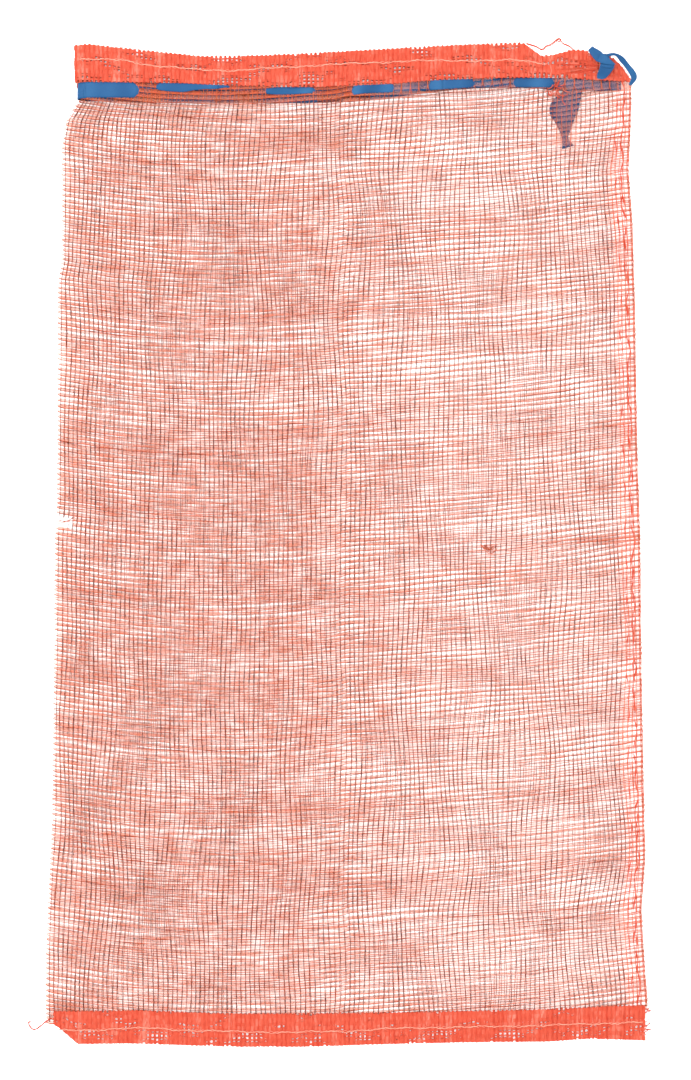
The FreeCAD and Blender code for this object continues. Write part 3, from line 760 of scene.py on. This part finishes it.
def stitch_line(stations, left, right, height):
    """A chain-stitch thread seen from above: a line of long stitches with small dips between them."""
    x = np.arange(left, right, STITCH_PITCH / 6)
    turn = x * 2 * np.pi / STITCH_PITCH
    y = along(stations, x) + STITCH_SWAY * np.sin(turn) + 0.5 * wander_along(x, [60, 23])
    z = height(x, y) + 0.22 * np.abs(np.sin(turn / 2)) + 0.16
    main = round_strand(xyz(x, y, z), STITCH_RADIUS, 0.3 + 0.2 * wander_along(x, [15]))
    y = along(stations, x) - STITCH_SWAY * 1.8 * np.sin(turn + 0.9) + 0.2
    z = height(x, y) + 0.05 + 0.1 * np.cos(turn)
    return gather([main, round_strand(xyz(x, y, z), STITCH_RADIUS * 0.7, 0.6)])


# The side seam's lines: how far in each is, half its width, its tone and how much it sways.
SEAM_LINES = ((6.9, 0.34, 0.5, 1.2), (6.2, 0.3, 0.35, 1.0), (12.2, 0.2, 0.5, 0.8))
OVERLOCK_PITCH = 4.4


def side_seam():
    """The side seam: gathered yarns along two sewing lines and an overlock thread that wraps the edge."""
    y = np.arange(MESH_LOW_Y + 1, 392, 1.6)
    parts = []
    for inset, width, tone, sway in SEAM_LINES:
        x = right_edge(y) - inset + sway * wander_along(y, [26, 60]) * 0.8
        z = front_height(x, y) + 0.35 + 0.2 * wander_along(y, [11])
        wide = np.clip(width * (1 + 0.9 * wander(1, y[None], [14, 33])), 0.15, 1.2)
        path = xyz(x, y, z)[None]
        tones = np.clip(tone + 0.12 * wander(1, y[None], [9, 21]), 0, 1)
        parts.append(strands(path, -X_AXIS, *diamond(wide, 0.28), tones))
    t = np.arange(MESH_LOW_Y + 3, 390, 0.55)
    turn = t * 2 * np.pi / OVERLOCK_PITCH
    x = right_edge(t) - 0.9 + 0.8 * np.sin(turn + np.sin(t / 11)) + 0.3 * wander_along(t, [30])
    path = xyz(x, t + 0.5 * np.cos(turn), 1.6 + 0.4 * np.cos(turn))
    tones = 0.45 + 0.2 * wander_along(t, [9, 25])
    parts.append(round_strand(path, 0.08 + 0.22 * np.abs(np.sin(turn / 2)), tones, corners=4))
    return gather(parts)


front_stitch = stitch_line(MOUTH_STITCH, -225, 168, mouth_height(9.0))
mouth_thread = spread_out("mouth_hem_stitch", front_stitch, front_region, STITCH)
inner_stitch = stitch_line(MOUTH_STITCH, -222, 222, mouth_height(1.6))
back_stitch = piece("back_hem_stitch", inner_stitch, STITCH)
lower_stitch = stitch_line(BOTTOM_STITCH, -243, 249, bottom_height(3.05))
bottom_stitch = piece("bottom_hem_stitch", lower_stitch, STITCH)
seam = spread_out("side_seam", side_seam(), back_region, HEM)

# -------------------- drawstring tape
ACROSS = np.linspace(1, -1, 9)
TAPE_HALF_THICKNESS = 0.13
FRONT_STEP, BACK_STEP = 2.3, 1.15  # how far the tape goes from under the mesh to over it


def tape(path, widths, side, tone=0.45, crown=0.35, seed=1, extra=0.0):
    """A flat woven tape: path (station, xyz), with its width and its sideways direction at each station, and
    extra height by station and place across."""
    path = np.array(path, float)
    widths = np.broadcast_to(widths, len(path))
    r = np.random.default_rng(seed)
    length = np.concatenate([[0], np.cumsum(np.linalg.norm(np.diff(path, axis=0), axis=1))])[:, None]
    pleat = 0.1 * sum(
        np.sin(length * 2 * np.pi / r.uniform(18, 60) + ACROSS[None] * r.uniform(1, 4) + r.uniform(0, 6))
        for _ in range(4)
    )
    lift = crown * (1 - ACROSS[None] ** 2) + pleat + extra
    across = widths[:, None] / 2 * np.concatenate([ACROSS, ACROSS[::-1]])[None]
    up = np.concatenate([lift + TAPE_HALF_THICKNESS, lift[:, ::-1] - TAPE_HALF_THICKNESS], axis=1)
    return strands(path[None], side, across[None], up[None], (tone + pleat.mean(axis=1))[None])


def ribbon(left, right, heights, seed, tone=0.45, crown=0.35):
    """A tape that twists and folds, between its left and right edge, (x, y) each, at these heights."""
    height = np.array(heights, float)[:, None]
    a, b = (curve_through(np.concatenate([edge, height], axis=1), 8) for edge in (left, right))
    return tape((a + b) / 2, np.linalg.norm(a - b, axis=1), unit(a - b), tone=tone, seed=seed, crown=crown)


def over(x, intervals, ramp=3):
    """1 where the tape lies on the mesh, 0 where it is under it."""
    rises = [smooth((x - a + ramp) / ramp) * smooth((b + ramp - x) / ramp) for a, b in intervals]
    return np.max(rises, axis=0)


def front_run():
    """The drawstring's front run, whose ends on the mesh are rounded."""
    x = np.arange(-222, 227, 2.0)
    low = along(FRONT_TAPE, x) - along(FRONT_WIDTH, x) / 2
    top = np.minimum(low + along(FRONT_WIDTH, x), along(MOUTH_LOW, x) - 0.9)
    y = (low + top) / 2
    lying = over(x, FRONT_OVER)
    near_seam = front_height(x, y) - 0.8 - 0.9 * smooth((232 - x) / 34)
    z = FRONT_Z + FRONT_RIPPLE * ripple(x, y) - 1.7
    z = np.where(x > NEAR_SEAM_X, near_seam, z) + FRONT_STEP * lying
    rounding = []
    for t in ACROSS**2:
        shorter = [(a + 1.2 * t, b - (4.5 if a < -230 else 1.2) * t) for a, b in FRONT_OVER]
        rounding.append(over(x, shorter))
    extra = FRONT_STEP * (np.array(rounding).T - lying[:, None])
    return tape(xyz(x, y, z), top - low, Y_AXIS, seed=3, extra=extra)


def back_run():
    """The drawstring's back run."""
    x = np.arange(-218, 232, 2.0)
    width = np.interp(x, [-218, 0, 40, 100, 232], [12.5, 12, 10, 8, 9])
    y = along(CHANNEL_LOW, x) + width / 2
    near_seam = back_height(x, y) + 0.35 + 0.55 * smooth((232 - x) / 34)
    z = np.where(x > NEAR_SEAM_X, near_seam, BACK_Z + 0.9) - BACK_STEP * over(x, BACK_OVER)
    return tape(xyz(x, y, z), width, Y_AXIS, seed=5, crown=0.15)


def left_turn():
    """The tape at the left fold, where it goes round outside the cloth."""
    line = [(-216, 379.5, BACK_Z + 0.4), (-222, 379.8, 1.5), (-226.4, 380.6, 4.4), (-225, 381.4, 7.7),
            (-220, 381.8, FRONT_Z + 0.7)]
    return tape(curve_through(line, 8), 13.3, Y_AXIS, seed=7)


def tape_piece(name, part):
    return piece(name, part, TAPE)


front_tape = spread_out("drawstring_front", front_run(), front_region, TAPE)
back_tape = tape_piece("drawstring_back", back_run())
left_bend = tape_piece("drawstring_left_bend", left_turn())

# The loose end inside the bag, and its crumpled tip.
inner_tail = tape_piece("drawstring_inner_end", ribbon(
    [(184.4, 386), (183.5, 380.4), (176.4, 373.6), (169.6, 365.9), (173.6, 358.4), (177.6, 349.3),
     (180.2, 340.9), (180.2, 333)],
    [(197, 386), (197, 380.4), (196.1, 372.8), (194, 364.4), (190.7, 356), (187.7, 348.4), (185.6, 342.1),
     (190.3, 335.2)],
    [5.4, 5.0, 4.7, 4.5, 4.6, 4.5, 4.6, 4.6], 9, tone=0.5, crown=0.4))

# The knot, and the ends and the loop that leave it.
front_leg = tape_piece("drawstring_front_end", ribbon(
    [(212.4, 403.6), (210.9, 397.2), (209.2, 392.2), (210.4, 390.3)],
    [(224.6, 403.0), (221.0, 398.4), (216.6, 393.8), (214.4, 391.8)],
    [12.6, 11.6, 10.2, 9.6], 11))
right_loop = tape_piece("drawstring_side_loop", ribbon(
    [(215.6, 411.6), (222.4, 412.8), (227.6, 411.8), (231.9, 409.1), (237.8, 402.0), (242.2, 396.6),
     (242.8, 392.4), (238.6, 387.2)],
    [(216.6, 409.2), (222.8, 410.4), (225.6, 409.6), (229.8, 404.6), (233.5, 400.2), (237.4, 394.2),
     (238.4, 390.8), (236.2, 385.6)],
    [12.0, 12.4, 11.6, 10.8, 9.6, 8.4, 6.8, 5.0], 13))
stub_end = tape_piece("drawstring_short_end", ribbon(
    [(205.4, 418.8), (209.8, 415.8), (213.6, 413.2), (215.2, 410.6)],
    [(202.0, 415.2), (203.8, 411.8), (206.6, 408.2), (209.2, 405.2)],
    [10.2, 10.8, 11.6, 12.6], 15))
knot = tape_piece("drawstring_knot_wraps", gather([
    ribbon([(213.6, 412.6), (217.6, 410.2), (220.8, 407.2), (224.8, 403.4)],
           [(208.4, 406.0), (212.6, 404.4), (217.4, 403.4), (224.2, 402.6)],
           [13.2, 14.0, 13.8, 12.4], 17, crown=0.8),
    ribbon([(212.0, 405.2), (216.4, 404.6), (221.4, 403.6), (224.8, 403.2)],
           [(212.6, 401.6), (216.0, 400.4), (219.6, 399.8), (222.4, 400.4)],
           [11.8, 12.6, 12.6, 11.4], 19, crown=0.7),
    ribbon([(209.4, 409.4), (213.0, 411.6), (217.0, 412.0), (219.6, 409.4)],
           [(212.4, 405.4), (214.4, 407.2), (216.4, 407.4), (217.0, 405.8)],
           [10.6, 11.2, 11.4, 10.8], 21, crown=0.7),
]))


# -------------------- loose threads
def thread_end():
    """The three-ply end of the bottom hem's thread."""
    line = [(-249, -398.5, 2.2), (-253, -400.5, 1.8), (-258, -404.5, 1.6), (-262.5, -407.8, 1.4),
            (-266, -406.5, 1.4), (-268.5, -402.5, 1.5), (-266.5, -400.8, 1.3)]
    line = curve_through(line, 6)
    parts = []
    for sway in (0.0, 1.4, 2.8):
        turn = np.linspace(0, 14, len(line)) + sway
        twist = xyz(0.35 * np.cos(turn), 0.35 * np.sin(turn), 0.2 * np.sin(turn))
        parts.append(round_strand(line + twist, 0.33, 0.75, corners=5))
    return gather(parts)


def corner_tuft():
    """Short frayed yarns at the bottom hem's right end."""
    parts = []
    for _ in range(16):
        x, y = 249 + rng.uniform(-2, 2), rng.uniform(-412, -388)
        bend, reach = rng.uniform(-6, 6), rng.uniform(3, 8)
        middle = (x + reach * 0.5, y + bend * 0.3, 2 + rng.uniform(-0.8, 1))
        line = curve_through([(x, y, 1.5), middle, (x + reach, y + bend, 1.4)], 6)
        parts.append(round_strand(line, rng.uniform(0.18, 0.32), rng.uniform(0.4, 0.8), corners=4))
    return gather(parts)


def loose_strand():
    """The strand that has come out of the mouth's hem, with its small tangle, and loose yarns beside it."""
    line = [(150, 421.3, 8.6), (158, 418.8, 8.9), (163, 416.2, 9.1), (166.5, 418.8, 9.2), (171, 420.6, 9.2),
            (175, 424, 9.1), (178, 425.2, 9.2), (180.5, 421.5, 9.2), (186, 419, 9.0), (189.5, 416, 8.6)]
    line = curve_through(line, 8)
    parts = [round_strand(line, 0.5, 0.6, corners=5)]
    parts.append(round_strand(line + np.array([0.5, -0.8, -0.2]), 0.35, 0.45, corners=4))
    k = np.arange(5)
    for _ in range(7):
        start = rng.uniform(0, 2 * np.pi)
        x, y = 177.5 + 1.9 * np.cos(start + k), 423.6 + 1.5 * np.sin(start + k * 1.3)
        line = curve_through(xyz(x, y, 9 + 0.5 * np.sin(start + 2 * k)), 5)
        parts.append(round_strand(line, 0.25, rng.uniform(0.3, 0.6), corners=4))
    # Yarns on the hem, drawn towards the knot.
    for _ in range(16):
        y0, y1 = rng.uniform(393, 411), rng.uniform(399, 407)
        x, level = rng.uniform(168, 184), rng.uniform(9.0, 9.6)
        near, far = (x + 9, y0 * 0.8 + y1 * 0.2, level), (201, y0 * 0.35 + y1 * 0.65, level + 0.3)
        line = curve_through([(x, y0, level - 0.8), near, far, (211, y1, level)], 5)
        parts.append(round_strand(line, rng.uniform(0.25, 0.5), rng.uniform(0.3, 0.8), corners=4))
    # Yarns bunched where the drawstring goes under the mesh.
    for _ in range(22):
        x, y = rng.uniform(166, 181), rng.uniform(377, 386.5)
        turn, reach = rng.normal(-0.9, 0.7), rng.uniform(1.5, 4.5)
        middle = (x + reach * np.cos(turn), y + reach * np.sin(turn), rng.uniform(9.1, 10))
        end = (x + 2 * reach * np.cos(turn + 0.4), y + 2 * reach * np.sin(turn + 0.4), 8.8)
        line = curve_through([(x, y, 9.0), middle, end], 4)
        parts.append(round_strand(line, rng.uniform(0.25, 0.45), rng.uniform(0.25, 0.7), corners=4))
    return gather(parts)


def snagged_yarns():
    """A small snag in the front mesh."""
    parts = []
    for _ in range(9):
        a = np.linspace(0, 1, 12)[:, None]
        start = np.array([rng.uniform(111, 117), rng.uniform(-2.5, 1), 8.6])
        end = np.array([rng.uniform(121, 126), rng.uniform(-3, 0.5), 8.6])
        dip = np.array([0, -rng.uniform(2, 5.5), rng.uniform(0.2, 0.9)])
        line = start + (end - start) * a + 4 * dip * a * (1 - a)
        parts.append(round_strand(line, 0.28, rng.uniform(0.4, 0.8), corners=4))
    return gather(parts)


def hole_strands():
    """The yarns left in the hole beside the left fold."""
    parts = []
    for k in range(3):
        middle = [(-240, 19.5 + rng.uniform(-1, 1), 5), (-235, 20 + rng.uniform(-2, 2), 6.5)]
        line = curve_through([(-246, 17 + 2.5 * k, 4), *middle, (-229, 21 + 2 * k, 7.6)], 5)
        parts.append(round_strand(line, 0.3, rng.uniform(0.5, 0.7), corners=4))
    return gather(parts)


thread_tail = piece("bottom_thread_end", thread_end(), HEM)
tuft = piece("bottom_corner_tuft", corner_tuft(), HEM)
frayed = piece("mouth_loose_strand", loose_strand(), HEM)
snag = piece("front_snagged_yarns", snagged_yarns(), MESH)
hole_yarns = piece("edge_hole_yarns", hole_strands(), MESH)

# -------------------- what the pieces stand for, and their bodies
STANDS_FOR = {
    front[LOWER]: ["lower_front_mesh", "bottom_front_taper", "lower_left_fold"],
    back[LOWER]: ["lower_back_mesh", "lower_right_seam"],
    front[UPPER]: ["upper_front_mesh", "mouth_front_corner", "upper_left_fold"],
    back[UPPER]: ["upper_back_mesh", "upper_right_seam", "mouth_left_fold"],
    front[LIP_MIDDLE]: ["mouth_front_mesh"],
    front_hem[LIP_MIDDLE]: ["front_mouth_hem"],
    front_hem[UPPER]: ["front_hem_corner"],
    back_hem: ["back_mouth_hem"],
    bottom_hem: ["bottom_hem"],
    mouth_thread[LIP_MIDDLE]: ["front_hem_thread"],
    back_stitch: ["back_hem_thread"],
    bottom_stitch: ["bottom_hem_thread"],
    seam[LOWER]: ["lower_side_seam_thread"],
    seam[UPPER]: ["upper_side_seam_thread"],
    front_tape[LIP_MIDDLE]: ["drawstring_front_run"],
    back_tape: ["drawstring_back_run"],
    left_bend: ["drawstring_left_turn"],
    inner_tail: ["drawstring_inner_tail"],
    front_leg: ["drawstring_front_leg"],
    right_loop: ["drawstring_right_loop"],
    stub_end: ["drawstring_stub_end"],
    knot: ["drawstring_knot"],
    thread_tail: ["bottom_thread_tail"],
    tuft: ["bottom_frayed_tuft"],
    frayed: ["hem_frayed_strand"],
}
for made, nodes in STANDS_FOR.items():
    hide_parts(*nodes)
for group in (front, back, front_hem, mouth_thread, seam, front_tape):
    for region, made in group.items():
        carry(made, region)
for made in (back_hem, back_stitch, back_tape, left_bend):
    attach(made, "upper_half")
for made in (bottom_hem, bottom_stitch, thread_tail, tuft):
    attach(made, "lower_half")
for made in (inner_tail, frayed):
    carry(made, LIP_RIGHT)
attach(snag, "lower_half")
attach(hole_yarns, "upper_half")
for made in (knot, stub_end):
    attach(made, "drawstring_pull")
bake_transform(front_leg)
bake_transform(right_loop)

# -------------------- the cloth, and the sizes it was cut to
WIDTH_LOW, WIDTH_UP = 0.502, 0.488
LENGTH_LOW = (FOLD_Y - BAND - MESH_LOW_Y) * mm
LENGTH_UP = (MOUTH_LOW[0][1] - FOLD_Y - BAND) * mm
LIP_LENGTH = (MOUTH_LOW[0][1] - LIP_Y) * mm
CORNER = (right_edge(LIP_Y) - LIP_X) * mm
LOW_FLAT, BAND_FLAT, UP_FLAT = (WIDTH_LOW, LENGTH_LOW), (WIDTH_UP, 2 * BAND * mm), (WIDTH_UP, LENGTH_UP)
SIDE_FLAT, LIP_FLAT = (STRIP * mm, LIP_LENGTH), ((LIP_X - LIP_LEFT_X - 2 * STRIP) * mm, LIP_LENGTH)
UP_AREA = WIDTH_UP * (LENGTH_UP - LIP_LENGTH) + CORNER * LIP_LENGTH  # the front without its lip
# Each piece of cloth, its flat size and area, what it lies on, and the pieces that go with it.
SHEETS = [
    (back[LOWER], LOW_FLAT, None, [], [bottom_hem, bottom_stitch, seam[LOWER], tuft, thread_tail]),
    (back[CREASE], BAND_FLAT, None, [back[LOWER]], [seam[CREASE]]),
    (back[UPPER], UP_FLAT, None, [], [back_hem, back_stitch, seam[UPPER]]),
    (front[LOWER], LOW_FLAT, None, [back[LOWER]], [snag]),
    (front[CREASE], BAND_FLAT, None, [back[CREASE]], []),
    (front[UPPER], UP_FLAT, UP_AREA, [back[UPPER]], [front_hem[UPPER], hole_yarns]),
    (front[LIP_LEFT], SIDE_FLAT, None, [back[UPPER]], [front_hem[LIP_LEFT], mouth_thread[LIP_LEFT]]),
    (front[LIP_MIDDLE], LIP_FLAT, None, [back[UPPER]], [front_hem[LIP_MIDDLE], mouth_thread[LIP_MIDDLE]]),
    (front[LIP_RIGHT], SIDE_FLAT, None, [back[UPPER]],
     [front_hem[LIP_RIGHT], mouth_thread[LIP_RIGHT], frayed]),
]
for made, flat, area, under, with_pieces in SHEETS:
    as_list(under)
    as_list(with_pieces)

# -------------------- floor, light and camera
bpy.ops.mesh.primitive_plane_add(size=12, location=(0, 0, -0.0002))
floor = bpy.context.object
floor.name = "floor"
floor_material = bpy.data.materials.new("floor_white")
add, link = nodes_of(floor_material)
surface, output = add("ShaderNodeBsdfPrincipled"), add("ShaderNodeOutputMaterial")
set_inputs(surface, {"Base Color": (0.93, 0.93, 0.93, 1), "Roughness": 0.9, "Specular IOR Level": 0})
set_inputs(surface, {"Emission Color": (1, 1, 1, 1), "Emission Strength": 0.45})
link(surface.outputs["BSDF"], output.inputs["Surface"])
floor.data.materials.append(floor_material)

scene = bpy.context.scene
scene.view_settings.view_transform = "Standard"
world = bpy.data.worlds.new("studio")
scene.world = world
world.use_nodes = True
set_inputs(world.node_tree.nodes["Background"], {"Color": (1, 1, 1, 1), "Strength": 1.85})
lamp = bpy.data.lights.new("soft_box", "AREA")
lamp.shape = "SQUARE"
lamp.size = 2.5
lamp.energy = 70
soft_box = bpy.data.objects.new("soft_box", lamp)
soft_box.location = (-0.9, 0.9, 2.6)
soft_box.rotation_euler = (-0.33, -0.33, 0)
scene.collection.objects.link(soft_box)

camera_data = bpy.data.cameras.new("camera")
camera_data.sensor_width = 36
camera_data.lens = 180
camera_data.clip_end = 50
camera = bpy.data.objects.new("camera", camera_data)
camera.location = (-0.0017, 0.0040, 4.544)
scene.collection.objects.link(camera)
scene.camera = camera
